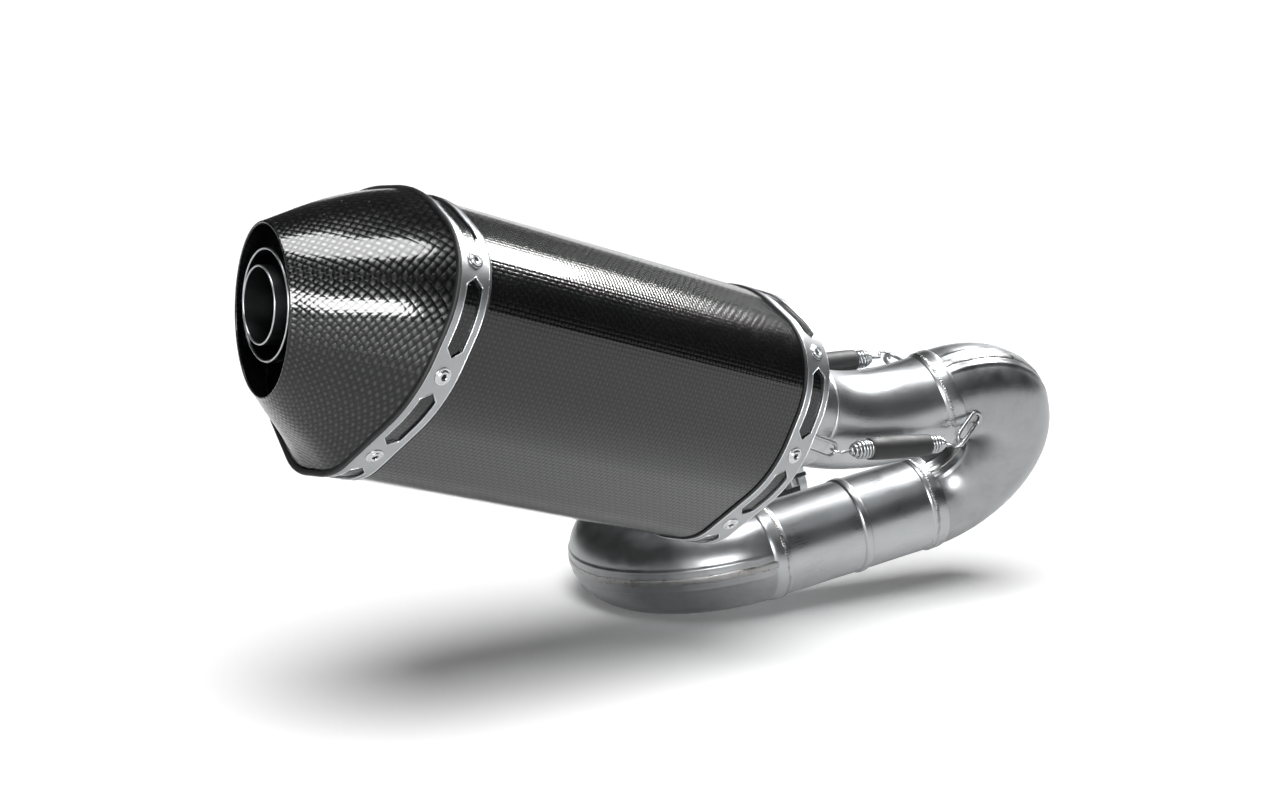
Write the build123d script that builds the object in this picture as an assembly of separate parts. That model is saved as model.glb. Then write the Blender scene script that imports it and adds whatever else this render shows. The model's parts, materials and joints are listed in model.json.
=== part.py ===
from build123d import *
import os
from math import asin, cos, sin, radians, degrees, pi, hypot

# Slip-on silencer with its two-bend link pipe, millimetres.
# The origin is the centre of the link pipe's inlet mouth, +X is forward, +Z up, and
# -Y is the outboard side, which the silencer flares towards.

# ---- Link pipe --------------------------------------------------------------
PIPE_R = 30.25            # outside radius of every bent tube
PIPE_WALL = 1.2
INLET_PITCH = 11.1        # the two legs climb forward at this angle
INLET_LEG = 88.0          # mouth to the start of the low bend
SOCKET_DEPTH = 40.0       # expanded mouth that slips over the header
SOCKET_BORE_R = 30.6
SOCKET_WALL = 1.4
SOCKET_SLOTS = 4
SLOT_WIDTH = 2.6
SLOT_LENGTH = 27.0
LOW_BEND_R = 68.4
REAR_TUBE = 61.5          # low bend to the bead
FRONT_TUBE = 53.5         # bead to the high bend
HIGH_BEND_R = 51.9
HIGH_BEND_ANGLE = 189.2
HIGH_BEND_LEAN = 35.8     # lean of the high bend's plane towards the outboard side
SWAN_R = 131.4            # last, shallow bend back towards the silencer
SWAN_ANGLE = 43.15
SWAN_ROLL = 179.4         # from the high bend's plane to the shallow bend's
SWAN_LEAD = 7.0           # straight before the silencer's mouth
SPIGOT = 38.0             # length of pipe inside the silencer's mouth
SHELL_GAP = 0.15          # each half shell stops this far from the bend's plane
JOINT_GAP = 0.1           # gap between one tube and the next under a weld
SEAM_R = 3.0              # raised weld along the half shells
SEAM_SINK = 1.5
BEAD_R = 1.7              # round weld bead section

# ---- Inlet clamp ------------------------------------------------------------
BAND_WIDTH = 18.0
BAND_WALL = 1.0
BAND_FROM_MOUTH = 15.0    # mouth to the band's middle
LUG_HEIGHT = 15.0
LUG_WALL = 2.5
LUG_GAP = 9.0
LUG_ANGLE = -22.0         # lugs point outboard and this far below level
BOLT_R = 3.0
BOLT_LENGTH = 30.0

# ---- Silencer can -----------------------------------------------------------
# The can's section is the hull of three mirrored pairs of circles: radius, x, y.
HULL = ((30.6, 5.8, -56.7), (50.9, 27.5, 2.8), (69.7, 5.5, -5.9))
CAN_ROLL = 4.4            # the section's top leans inboard, in degrees
CAN_FRONT = 69.7          # silencer mouth to the front strap's front edge, on the axis
CAN_REAR = 347.7          # and to the rear strap's rear edge
# Both ends are cut obliquely: rearward run per unit outboard and per unit up.
SLOPES = {"front": (-0.018, -0.055), "rear": (0.062, -0.121)}
STRAP_WIDTH = 19.0
STRAP_WALL = 0.8
SLEEVE_OFF = 1.1          # sleeve's skin below the strap's skin
SLEEVE_WALL = 1.2
SKIRT_OFF = 2.5           # skirts of the caps, inside the sleeve
SKIRT_WALL = 0.8
CAP_WALL = 1.5
COLLAR_R = 31.85          # silencer mouth, outside
COLLAR_BORE_R = 30.32
COLLAR_LENGTH = 62.0
CONE_NECK_Z = 40.0
SHEET = 1.0
CORE_R = 28.0
CORE_WALL = 0.9
CORE_HOLE_R = 2.2
CORE_ROWS = 10
CORE_HOLES_PER_ROW = 8

SECTION_POINTS = 72       # points that carry each section's outline
END_LEAN = 30.0           # more than an oblique end departs from square
BEYOND = 200.0            # reaches past the can from anywhere inside it

# ---- Straps, rivets ---------------------------------------------------------
RIVET_ARCS = (35.8, 93.5, 155.3)   # arc lengths from the can's keel to the rivets
RIVET_HEAD_R = 4.8
RIVET_HEAD_H = 1.3
RIVET_HOLE_R = 1.6
RIVET_SHANK_R = 2.4
RIVET_LENGTH = 6.0
RIVET_CLEARANCE = 0.15
SLOT_HEIGHT = 10.6        # strap slots, along the can
SLOT_POINT = 4.6          # length of a slot's pointed end
SLOT_TO_RIVET = 9.5       # rivet centre to the slot's tip
SEAL_WIDTH = 1.5

# ---- Outlet -----------------------------------------------------------------
LIP_CENTRE = (-5.8, -12.3, 402.3)   # in the can's frame
LIP_SEMI = (33.8, 43.4)    # as seen along the can's axis
LIP_YAW = 12.9            # the outlet is turned from the can's axis by these
LIP_PITCH = 12.6
LIP_BULGE = 2.4
EDGE_ROLL = 1.3           # rolled edge at the end cap's base
EDGE_ROLL_WIDTH = 2.4
OUTLET_R = 28.6
OUTLET_WALL = 1.1
OUTLET_RISE = 2.6         # outlet tube above the lip's centre
OUTLET_LENGTH = 57.0
OUTLET_RECESS = 1.0
INSERT_R = 20.0
INSERT_WALL = 1.0
INSERT_PROUD = 2.5
INSERT_LENGTH = 48.0
INSERT_SKIRT = 9.0
INSERT_CLEARANCE = 0.08

# ---- Springs and hooks, in the can's frame ----------------------------------
# Silencer eye and pipe eye of each spring, then where each hook is welded.
SPRINGS = {
    "near": ((39.7, -18.1, 6.5), (56.1, 3.2, -83.9), (34.3, -14.2, 44.5), (51.0, 20.8, -99.9)),
    "top": ((-37.2, 21.5, 0.1), (-17.6, 49.3, -87.8), (-32.4, 18.9, 44.5), (-2.4, 42.2, -106.1)),
    "low": ((-38.5, -21.8, -1.6), (-24.8, -5.6, -93.5), (-32.6, -18.5, 44.5), (-3.3, 11.0, -104.4)),
}
SPRING_WIRE_R = 0.85
SPRING_COIL_R = 4.9
SPRING_PITCH = 2.25
SPRING_TURNS = 32
SPRING_EYE_R = 3.5
HOOK_WIRE_R = 1.3
HOOK_SLACK = 0.35         # between a spring's eye and the loop that it hooks
COIL_GAP = 0.1            # keeps the coil and its two ends separate solids
HOOK_HALF_WIDTH = 4.4
GUARD_R = 7.0             # silicone sleeve over the coil
GUARD_WALL = 1.05
GUARD_LENGTH = 46.0

# ---- Hanger -----------------------------------------------------------------
HANGER_X = -58.0
HANGER_EYE = (44.0, 40.0)           # y and z in the can's frame
HANGER_R = 14.0
HANGER_BORE_R = 11.0
HANGER_WALL = 3.0
BUSH_R = 5.9
BUSH_BORE_R = 4.15
BUSH_LENGTH = 16.0


class Route:
    """Centre line of a bent tube, walked as straights and bends."""

    def __init__(self, point, heading, side):
        self.point, self.heading, self.side = point, heading, side

    def straight(self, length):
        start = self.point
        self.point = start + self.heading * length
        return Line(start, self.point)

    def bend(self, radius, angle, roll=0.0):
        self.side = self.side.rotate(Axis((0, 0, 0), tuple(self.heading)), roll)
        start, ahead, side = self.point, self.heading, self.side
        at = lambda a: start + (ahead * sin(a) + side * (1 - cos(a))) * radius
        whole = radians(angle)
        self.point = at(whole)
        self.heading = ahead * cos(whole) + side * sin(whole)
        self.side = side * cos(whole) - ahead * sin(whole)
        return ThreePointArc(start, at(whole / 2), self.point)


def bar(path, radius):
    """Round bar along a line or an arc."""
    return sweep(Plane(path @ 0, z_dir=path % 0) * Circle(radius), path=path)


def tube(path, radius, wall=PIPE_WALL):
    return bar(path, radius) - bar(path, radius - wall)


def hull_reach(direction, off):
    """Support function of the can's section, `off` inside its skin."""
    direction -= radians(CAN_ROLL)
    nx, ny = cos(direction), sin(direction)
    return max(abs(nx) * x + ny * y + r - off for r, x, y in HULL)


def hull_radius(angle, off=0.0):
    """Distance from the can's axis to its skin at one polar angle."""
    spread = [angle + radians(d / 2) for d in range(-120, 121)]
    return min(hull_reach(t, off) / cos(t - angle) for t in spread)


def can_face(off, z, slope=(0, 0)):
    """The can's section, level or cut at a slope."""
    points = []
    for i in range(SECTION_POINTS):
        a = 2 * pi * i / SECTION_POINTS
        x, y = hull_radius(a, off) * cos(a), hull_radius(a, off) * sin(a)
        points.append((x, y, z + slope[0] * x + slope[1] * y))
    return Face(Wire([Spline(*points, periodic=True)]))


def can_ring(outer, inner, z0, z1):
    """Length of the can's wall between two depths below its skin."""
    outside = extrude(can_face(outer, z0), z1 - z0, dir=(0, 0, 1))
    return outside - extrude(can_face(inner, z0 - 1), z1 - z0 + 2, dir=(0, 0, 1))


def slab(end, z0, z1):
    """Everything between two planes parallel to one end of the can."""
    a, b = SLOPES[end]
    normal = Vector(-a, -b, 1)
    return Plane((0, 0, (z0 + z1) / 2), z_dir=normal) * Box(2 * BEYOND, 2 * BEYOND, (z1 - z0) / normal.length)


def end_ring(end, outer, inner, z0, z1):
    """Length of wall between two planes parallel to one end."""
    return can_ring(outer, inner, z0 - END_LEAN, z1 + END_LEAN) & slab(end, z0, z1)


def between_ends(shape, front_gap, rear_gap):
    """Trim a long piece this far inside the straps' outer edges."""
    shape = shape - slab("front", CAN_FRONT + front_gap - BEYOND, CAN_FRONT + front_gap)
    return shape - slab("rear", CAN_REAR - rear_gap, CAN_REAR - rear_gap + BEYOND)


def keel_angles():
    """Arc length from the keel to each polar angle up the outboard side."""
    table, last, length = [], None, 0.0
    for i in range(721):
        a = radians(-90 + i / 4 + CAN_ROLL)
        r = hull_radius(a)
        here = (r * cos(a), r * sin(a))
        if last:
            length += hypot(here[0] - last[0], here[1] - last[1])
        table.append((length, a))
        last = here
    return table


KEEL = keel_angles()
HALF_GIRTH = KEEL[-1][0]


def angle_at(arc):
    """Polar angle at an arc length from the keel; negative arcs are inboard."""
    wanted = min(abs(arc), 2 * HALF_GIRTH - abs(arc))
    angle = min(KEEL, key=lambda entry: abs(entry[0] - wanted))[1]
    outboard = (arc >= 0) == (abs(arc) <= HALF_GIRTH)
    return angle if outboard else pi + 2 * radians(CAN_ROLL) - angle


def skin_point(angle, end, z):
    a, b = SLOPES[end]
    x, y = hull_radius(angle) * cos(angle), hull_radius(angle) * sin(angle)
    return Vector(x, y, z + a * x + b * y)


def skin_plane(angle, end, z):
    """Plane on the can's skin, facing out, its x axis running round the end."""
    step = radians(0.5)
    before, here, after = [skin_point(a, end, z) for a in (angle - step, angle, angle + step)]
    along = (after - before).normalized()
    return Plane(here, x_dir=along, z_dir=along.cross(Vector(0, 0, 1)))


def group(solids):
    return Compound(children=[s for part in solids for s in part.solids()])


def save(shape, name, frame=None):
    if isinstance(frame, Plane):
        frame = frame.location
    if frame is not None:
        shape = shape.moved(frame)
    shape.label = name
    export_step(shape, f"parts/{name}.step")


os.makedirs("parts", exist_ok=True)

# ============================================================ link pipe ======
climb = radians(INLET_PITCH)
FORWARD = Vector(cos(climb), 0, sin(climb))
route = Route(Vector(0, 0, 0), FORWARD * -1, Vector(0, -1, 0))
socket_line = route.straight(SOCKET_DEPTH)
leg_line = route.straight(INLET_LEG - SOCKET_DEPTH)
low_arc = route.bend(LOW_BEND_R, 180)
rear_line = route.straight(REAR_TUBE)
front_line = route.straight(FRONT_TUBE)
route.side = FORWARD.cross(Vector(0, 1, 0))
high_arc = route.bend(HIGH_BEND_R, HIGH_BEND_ANGLE, roll=HIGH_BEND_LEAN)
swan_arc = route.bend(SWAN_R, SWAN_ANGLE, roll=SWAN_ROLL)
lead_line = route.straight(SWAN_LEAD)
mouth = route.point
REARWARD = route.heading
spigot_line = route.straight(SPIGOT)

# The can's frame: z runs rearward from the silencer's mouth, y up, x outboard.
can = Plane(mouth, x_dir=Vector(0, 0, 1).cross(REARWARD), z_dir=REARWARD)
if can.x_dir.Y > 0:
    can = Plane(mouth, x_dir=can.x_dir * -1, z_dir=REARWARD)


def shortened(tube_solid, path, at_start=False, at_end=True):
    """Take the weld gap off a tube's ends."""
    size = 3 * PIPE_R
    for wanted, place in ((at_start, 0), (at_end, 1)):
        if wanted:
            cut = Plane(path @ place, z_dir=path % place) * Box(size, size, 2 * JOINT_GAP)
            tube_solid = tube_solid - cut
    return tube_solid


# Mouth: an expanded socket with clamping slots, joined to the leg by a shoulder.
mouth_plane = Plane((0, 0, 0), x_dir=(0, -1, 0), z_dir=FORWARD * -1)
shoulder = 6.0
profile = Polyline(
    (SOCKET_BORE_R, 0),
    (SOCKET_BORE_R, SOCKET_DEPTH),
    (PIPE_R - PIPE_WALL, SOCKET_DEPTH + shoulder),
    (PIPE_R - PIPE_WALL, INLET_LEG - JOINT_GAP),
    (PIPE_R, INLET_LEG - JOINT_GAP),
    (PIPE_R, SOCKET_DEPTH + shoulder),
    (SOCKET_BORE_R + SOCKET_WALL, SOCKET_DEPTH),
    (SOCKET_BORE_R + SOCKET_WALL, 0),
    close=True,
)
inlet = revolve(Plane.XZ * make_face(profile), Axis.Z)
for i in range(SOCKET_SLOTS):
    cutter = Pos(PIPE_R, 0, SLOT_LENGTH / 2 - 1) * Box(12, SLOT_WIDTH, SLOT_LENGTH + 2)
    end = Pos(PIPE_R, 0, SLOT_LENGTH) * (Rot(0, 90, 0) * Cylinder(SLOT_WIDTH / 2, 12))
    turn = Rot(0, 0, 45 + 360 / SOCKET_SLOTS * i)
    inlet = inlet - turn * cutter - turn * end
save(inlet, "inlet_pipe", mouth_plane)


def half_shells(path, normal):
    """Split a bent tube into its two pressed halves along the bend's plane."""
    whole = shortened(tube(path, PIPE_R), path, at_start=True)
    cut = Plane(path @ 0, z_dir=normal)
    upper = split(whole, bisect_by=cut.offset(SHELL_GAP), keep=Keep.TOP)
    lower = split(whole, bisect_by=cut.offset(-SHELL_GAP), keep=Keep.BOTTOM)
    return upper, lower


def seam_welds(path, radius, normal):
    """Raised welds along the outer and inner edges of a bend's half shells."""
    skin = bar(path, PIPE_R + 0.02)
    centre = path.arc_center
    start = path @ 0
    out = (start - centre).normalized()
    welds = []
    for reach in (PIPE_R - SEAM_SINK, SEAM_SINK - PIPE_R):
        origin = start + out * reach
        ring = Plane(origin, x_dir=out, z_dir=path % 0) * Circle(SEAM_R)
        sweep_angle = degrees(path.length / radius)
        axis = Axis(tuple(centre), tuple(normal))
        welds.append(revolve(ring, axis, sweep_angle) - skin)
    return group(welds)


low_normal = (low_arc % 0).cross(((low_arc @ 1) - (low_arc @ 0)).normalized())
high_plane_normal = (high_arc % 0).cross(((high_arc @ 0.5) - (high_arc @ 0)).normalized())
for stem, path, radius, normal in (
    ("low_bend", low_arc, LOW_BEND_R, low_normal),
    ("high_bend", high_arc, HIGH_BEND_R, high_plane_normal),
):
    first, second = half_shells(path, normal)
    save(first, f"{stem}_shell_a")
    save(second, f"{stem}_shell_b")
    save(seam_welds(path, radius, normal), f"{stem}_seam")

save(shortened(tube(rear_line, PIPE_R), rear_line, at_start=True), "lower_tube_rear")
save(shortened(tube(front_line, PIPE_R), front_line, at_start=True), "lower_tube_front")

swan = shortened(tube(swan_arc, PIPE_R), swan_arc, at_start=True, at_end=False)
tail = Line(lead_line @ 0, spigot_line @ 1)
save(swan + tube(tail, PIPE_R), "swan_pipe")

# Round welds between the tubes.
joints = [low_arc @ 0, low_arc @ 1, rear_line @ 1, front_line @ 1, high_arc @ 1]
heads = [low_arc % 0, low_arc % 1, rear_line % 1, front_line % 1, high_arc % 1]
welds = []
for at, head in zip(joints, heads):
    ring = Plane(at, z_dir=head) * Torus(PIPE_R + 0.35, BEAD_R)
    welds.append(ring - Plane(at, z_dir=head) * Cylinder(PIPE_R + 0.05, 12))
save(group(welds), "pipe_welds")

# ========================================================== inlet clamp ======
band_r = SOCKET_BORE_R + SOCKET_WALL + 0.1
clamp_plane = Plane(
    FORWARD * -BAND_FROM_MOUTH,
    x_dir=Vector(0, -1, 0).rotate(Axis((0, 0, 0), tuple(FORWARD)), LUG_ANGLE),
    z_dir=FORWARD,
)
band = Cylinder(band_r + BAND_WALL, BAND_WIDTH) - Cylinder(band_r, BAND_WIDTH + 2)
band = band - Pos(band_r, 0, 0) * Box(14, LUG_GAP, BAND_WIDTH + 2)
lug_x = band_r + LUG_HEIGHT / 2
for side in (1, -1):
    lug = Pos(lug_x, side * (LUG_GAP + LUG_WALL) / 2, 0) * Box(LUG_HEIGHT, LUG_WALL, BAND_WIDTH)
    lug = lug - Pos(lug_x, 0, 0) * (Rot(90, 0, 0) * Cylinder(BOLT_R + 0.3, 60))
    band = band + (lug - Cylinder(band_r, BAND_WIDTH + 2))
save(band, "inlet_clamp", clamp_plane)

bolt_frame = Plane(
    clamp_plane.from_local_coords(Vector(lug_x, 0, 0)),
    x_dir=clamp_plane.x_dir,
    z_dir=clamp_plane.y_dir,
)
lug_face = LUG_GAP / 2 + LUG_WALL
head_height = 5.0
bolt = Pos(0, 0, lug_face + 0.1 - BOLT_LENGTH / 2) * Cylinder(BOLT_R, BOLT_LENGTH)
cap_head = Pos(0, 0, lug_face + 0.1 + head_height / 2) * Cylinder(5.2, head_height)
socket = Pos(0, 0, lug_face + head_height) * extrude(RegularPolygon(2.9, 6), 4, both=True)
save(bolt + (cap_head - socket), "clamp_bolt", bolt_frame)
nut = extrude(RegularPolygon(5.6, 6), 5.0) - Cylinder(BOLT_R + 0.06, 30)
save(Pos(0, 0, -lug_face - 5.1) * nut, "clamp_nut", bolt_frame)

# ============================================================= silencer ======
strap_spans = {
    "front": (CAN_FRONT, CAN_FRONT + STRAP_WIDTH),
    "rear": (CAN_REAR - STRAP_WIDTH, CAN_REAR),
}
strap_middle = {end: (z0 + z1) / 2 for end, (z0, z1) in strap_spans.items()}
rivet_arcs = sorted([s * a for a in RIVET_ARCS for s in (1, -1)] + [HALF_GIRTH])


def drilled(shape, end):
    """Rivet holes through every layer at one end."""
    for arc in rivet_arcs:
        place = skin_plane(angle_at(arc), end, strap_middle[end])
        shape = shape - place * Cylinder(RIVET_SHANK_R + RIVET_CLEARANCE, 20)
    return shape


def strap_slot(arc0, arc1, end):
    """One long slot with pointed ends, cut through the strap."""
    z = strap_middle[end]
    inner0, inner1 = arc0 + SLOT_POINT, arc1 - SLOT_POINT
    steps = 24
    outer, inner = [], []
    for i in range(steps + 1):
        a = angle_at(inner0 + (inner1 - inner0) * i / steps)
        big, small = hull_radius(a, -4), hull_radius(a, 4)
        outer.append((big * cos(a), big * sin(a), z - END_LEAN))
        inner.append((small * cos(a), small * sin(a), z - END_LEAN))
    sector = make_face(Polyline(*outer, *reversed(inner), close=True))
    cutter = extrude(sector, 2 * END_LEAN, dir=(0, 0, 1))
    cutter = cutter & slab(end, z - SLOT_HEIGHT / 2, z + SLOT_HEIGHT / 2)
    for arc, way in ((inner0, -1), (inner1, 1)):
        plane = skin_plane(angle_at(arc), end, z)
        tip = Polyline(
            (-way * 0.3, -SLOT_HEIGHT / 2),
            (way * SLOT_POINT, 0),
            (-way * 0.3, SLOT_HEIGHT / 2),
            close=True,
        )
        cutter = cutter + extrude(plane * make_face(tip), 4, both=True)
    return cutter


rivet = Cylinder(RIVET_SHANK_R, RIVET_LENGTH, align=(Align.CENTER, Align.CENTER, Align.MAX))
dome = Pos(0, 0, RIVET_HEAD_H / 2 + 0.02) * Cylinder(RIVET_HEAD_R, RIVET_HEAD_H)
dome = chamfer(dome.faces().sort_by(Axis.Z)[-1].edges(), 0.7)
rivet = rivet + Pos(0, 0, 0.01) * Cylinder(RIVET_SHANK_R, 0.2) + dome
rivet = rivet - Cylinder(RIVET_HOLE_R, 30)

for end, (z0, z1) in strap_spans.items():
    strap = drilled(end_ring(end, 0, STRAP_WALL, z0, z1), end)
    stops = rivet_arcs + [rivet_arcs[0] + 2 * HALF_GIRTH]
    for a, b in zip(stops, stops[1:]):
        strap = strap - strap_slot(a + SLOT_TO_RIVET, b - SLOT_TO_RIVET, end)
    save(strap, f"{end}_strap", can)
    rivets = [skin_plane(angle_at(arc), end, strap_middle[end]) * rivet for arc in rivet_arcs]
    save(group(rivets), f"{end}_rivets", can)
    inside = z1 + 0.1 if end == "front" else z0 - 0.1 - SEAL_WIDTH
    save(end_ring(end, 0.25, SLEEVE_OFF - 0.05, inside, inside + SEAL_WIDTH), f"{end}_seal", can)

long_z = (CAN_FRONT - END_LEAN, CAN_REAR + END_LEAN)
sleeve = between_ends(can_ring(SLEEVE_OFF, SLEEVE_OFF + SLEEVE_WALL, *long_z), 0.8, 0.6)
save(drilled(drilled(sleeve, "front"), "rear"), "carbon_sleeve", can)

# Front cap: a skirt under the sleeve and a cone down to the mouth.
front_z = strap_spans["front"]


def cone(off, neck, z_skirt, z_neck):
    angles = [2 * pi * i / SECTION_POINTS for i in range(SECTION_POINTS)]
    ring = [(neck * cos(a), neck * sin(a), z_neck) for a in angles]
    throat = Face(Wire([Spline(*ring, periodic=True)]))
    return loft([can_face(off, z_skirt, SLOPES["front"]), throat])


cone_skin = cone(SKIRT_OFF, COLLAR_R + 0.15 + SHEET, front_z[0] + 1, CONE_NECK_Z)
cone_core = cone(SKIRT_OFF + SHEET, COLLAR_R + 0.15, front_z[0] + 1.0, CONE_NECK_Z)
front_cap = cone_skin - cone_core - Pos(0, 0, CONE_NECK_Z) * Cylinder(COLLAR_R + 0.15, 30)
skirt = end_ring("front", SKIRT_OFF, SKIRT_OFF + SKIRT_WALL, front_z[0] + 1.0, front_z[1] + 1.5)
front_cap = drilled(front_cap + skirt, "front")
save(front_cap, "front_cap", can)

collar = Cylinder(COLLAR_R, COLLAR_LENGTH, align=(Align.CENTER, Align.CENTER, Align.MIN))
roll = Pos(0, 0, 1.2) * Torus(COLLAR_R - 0.2, 1.2)
collar = collar + roll - Cylinder(COLLAR_BORE_R, 3 * COLLAR_LENGTH)
save(collar, "inlet_collar", can)
neck_weld = Pos(0, 0, CONE_NECK_Z - 0.6) * Torus(COLLAR_R + 0.5, BEAD_R)
neck_weld = neck_weld - Pos(0, 0, CONE_NECK_Z) * Cylinder(COLLAR_R + 0.02, 20) - front_cap
save(group([neck_weld.solids().sort_by(SortBy.VOLUME)[-1]]), "collar_weld", can)

# Gas path and packing.
core_z = (COLLAR_LENGTH + 0.3, CAN_REAR - 18.0)
core_length = core_z[1] - core_z[0]
core = Cylinder(CORE_R, core_length) - Cylinder(CORE_R - CORE_WALL, core_length + 2)
for row in range(CORE_ROWS):
    z = core_length * ((row + 0.5) / CORE_ROWS - 0.5)
    for i in range(CORE_HOLES_PER_ROW // 2):
        turn = 360 / CORE_HOLES_PER_ROW * (i + 0.5 * (row % 2))
        core = core - Pos(0, 0, z) * (Rot(0, 90, turn) * Cylinder(CORE_HOLE_R, 4 * CORE_R))
save(core, "perforated_core", can * Pos(0, 0, sum(core_z) / 2))
wool = extrude(can_face(SLEEVE_OFF + SLEEVE_WALL + 0.4, long_z[0]), long_z[1] - long_z[0], dir=(0, 0, 1))
wool = between_ends(wool, STRAP_WIDTH + 3.0, STRAP_WIDTH + 3.0)
save(wool - Cylinder(CORE_R + 0.3, 2000), "packing", can)

# ============================================================= end cap =======


def outlet_turn(t):
    """Degrees about x and y, from the oblique base to the lip."""
    a, b = SLOPES["rear"]
    base_pitch, base_yaw = degrees(asin(b)), degrees(-asin(a))
    return base_pitch + (LIP_PITCH - base_pitch) * t, base_yaw + (-LIP_YAW - base_yaw) * t


def outlet_frame(t):
    """Frame of the end cap's section, from its base at 0 to its lip at 1."""
    ease = t * t * (3 - 2 * t) * 0.5 + t * 0.5
    x, y, z = LIP_CENTRE
    origin = Vector(x * ease, y * ease, CAN_REAR + 0.2 + (z - CAN_REAR - 0.2) * t)
    return Plane(Location(tuple(origin)) * Rot(*outlet_turn(t), 0))


def cap_face(t, off):
    points = []
    pitch, yaw = outlet_turn(t)
    for i in range(SECTION_POINTS):
        a = 2 * pi * i / SECTION_POINTS
        oval = 1 / hypot(cos(a) / (LIP_SEMI[0] - off), sin(a) / (LIP_SEMI[1] - off))
        bulge = LIP_BULGE * sin(pi * t) * (0.7 + 0.3 * sin(a))
        r = hull_radius(a, off) * (1 - t) + oval * t + bulge
        points.append((r * cos(a) / cos(radians(yaw)), r * sin(a) / cos(radians(pitch)), 0))
    return outlet_frame(t) * Face(Wire([Spline(*points, periodic=True)]))


stations = (0, 0.33, 0.67, 1)
cap_skin = loft([cap_face(t, 0) for t in stations])
cap_core = loft([cap_face(t, CAP_WALL) for t in stations])
end_cap = cap_skin - cap_core
edge_z = CAN_REAR + 0.2
edge = end_ring("rear", -EDGE_ROLL, SKIRT_OFF, edge_z, edge_z + EDGE_ROLL_WIDTH)
cap_skirt = end_ring("rear", SKIRT_OFF, SKIRT_OFF + 1.2, CAN_REAR - STRAP_WIDTH, CAN_REAR + 1.0)
end_cap = drilled(end_cap + (edge - cap_core) + cap_skirt, "rear")
save(end_cap, "end_cap", can)

lip = outlet_frame(1)
outlet = Plane(lip.origin + lip.y_dir * OUTLET_RISE, x_dir=lip.x_dir, z_dir=lip.z_dir)
top_align = (Align.CENTER, Align.CENTER, Align.MAX)
outlet_solid = Pos(0, 0, -OUTLET_RECESS) * Cylinder(OUTLET_R, OUTLET_LENGTH, align=top_align)
outlet_bore = Cylinder(OUTLET_R - OUTLET_WALL, 4 * OUTLET_LENGTH)
save(outlet_solid - outlet_bore, "outlet_tube", can.location * outlet.location)

bulkhead_z = CAN_REAR - 11.0
plate_off = SKIRT_OFF + 1.2 + 0.2
bulkhead = extrude(can_face(plate_off, bulkhead_z, SLOPES["rear"]), SHEET, dir=(0, 0, 1))
rim = end_ring("rear", plate_off, plate_off + SHEET, CAN_REAR - STRAP_WIDTH, bulkhead_z + 0.5)
bulkhead = drilled(bulkhead + rim - outlet * Cylinder(OUTLET_R + 0.15, 200), "rear")
save(bulkhead, "rear_bulkhead", can)

# Removable insert that narrows the outlet.
insert_bore = Cylinder(INSERT_R - INSERT_WALL, 2 * INSERT_LENGTH)
insert_tube = Cylinder(INSERT_R, INSERT_LENGTH) - insert_bore
insert_r = OUTLET_R - OUTLET_WALL - INSERT_CLEARANCE
half = INSERT_LENGTH / 2
flange = Pos(0, 0, -half + 0.75) * Cylinder(insert_r, 1.5) - insert_bore
guide = Cylinder(insert_r, INSERT_SKIRT) - Cylinder(insert_r - 1.0, 2 * INSERT_SKIRT)
insert = insert_tube + flange + Pos(0, 0, -half + INSERT_SKIRT / 2) * guide
save(Pos(0, 0, INSERT_PROUD - half) * insert, "outlet_insert", can.location * outlet.location)

# ==================================================== springs and hooks ======


def hook_loop(foot, eye, away, out):
    """U of wire from its two welded feet to a spring's eye, and the way across the U."""
    grip = SPRING_EYE_R - SPRING_WIRE_R - HOOK_WIRE_R - HOOK_SLACK
    apex = eye - away * grip
    reach = (apex - foot).normalized()
    across = reach.cross(out).normalized()
    aside = across * HOOK_HALF_WIDTH
    near = apex - reach * HOOK_HALF_WIDTH
    first_leg = Line(foot + aside, near + aside)
    crown = ThreePointArc(near + aside, apex, near - aside)
    second_leg = Line(near - aside, foot - aside)
    path = Wire([first_leg, crown, second_leg])
    return sweep(Plane(path @ 0, z_dir=path % 0) * Circle(HOOK_WIRE_R), path=path), across


def spring_end(eye, away, across, turn_in, first_turn):
    """Wire from the coil to an open eye that stands square to the hook it goes round."""
    rise = (away - across * away.dot(across)).normalized() * SPRING_EYE_R
    side = across.cross(rise)
    far = eye - side * sin(radians(60)) - rise * 0.5
    tip = eye + side * sin(radians(60)) - rise * 0.5
    end = Pos(turn_in) * Sphere(SPRING_WIRE_R)
    for line in (
        Line(turn_in, eye + rise),
        Line(turn_in, first_turn),
        ThreePointArc(eye + rise, far, tip),
    ):
        end = end + bar(line, SPRING_WIRE_R)
    return end


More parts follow.
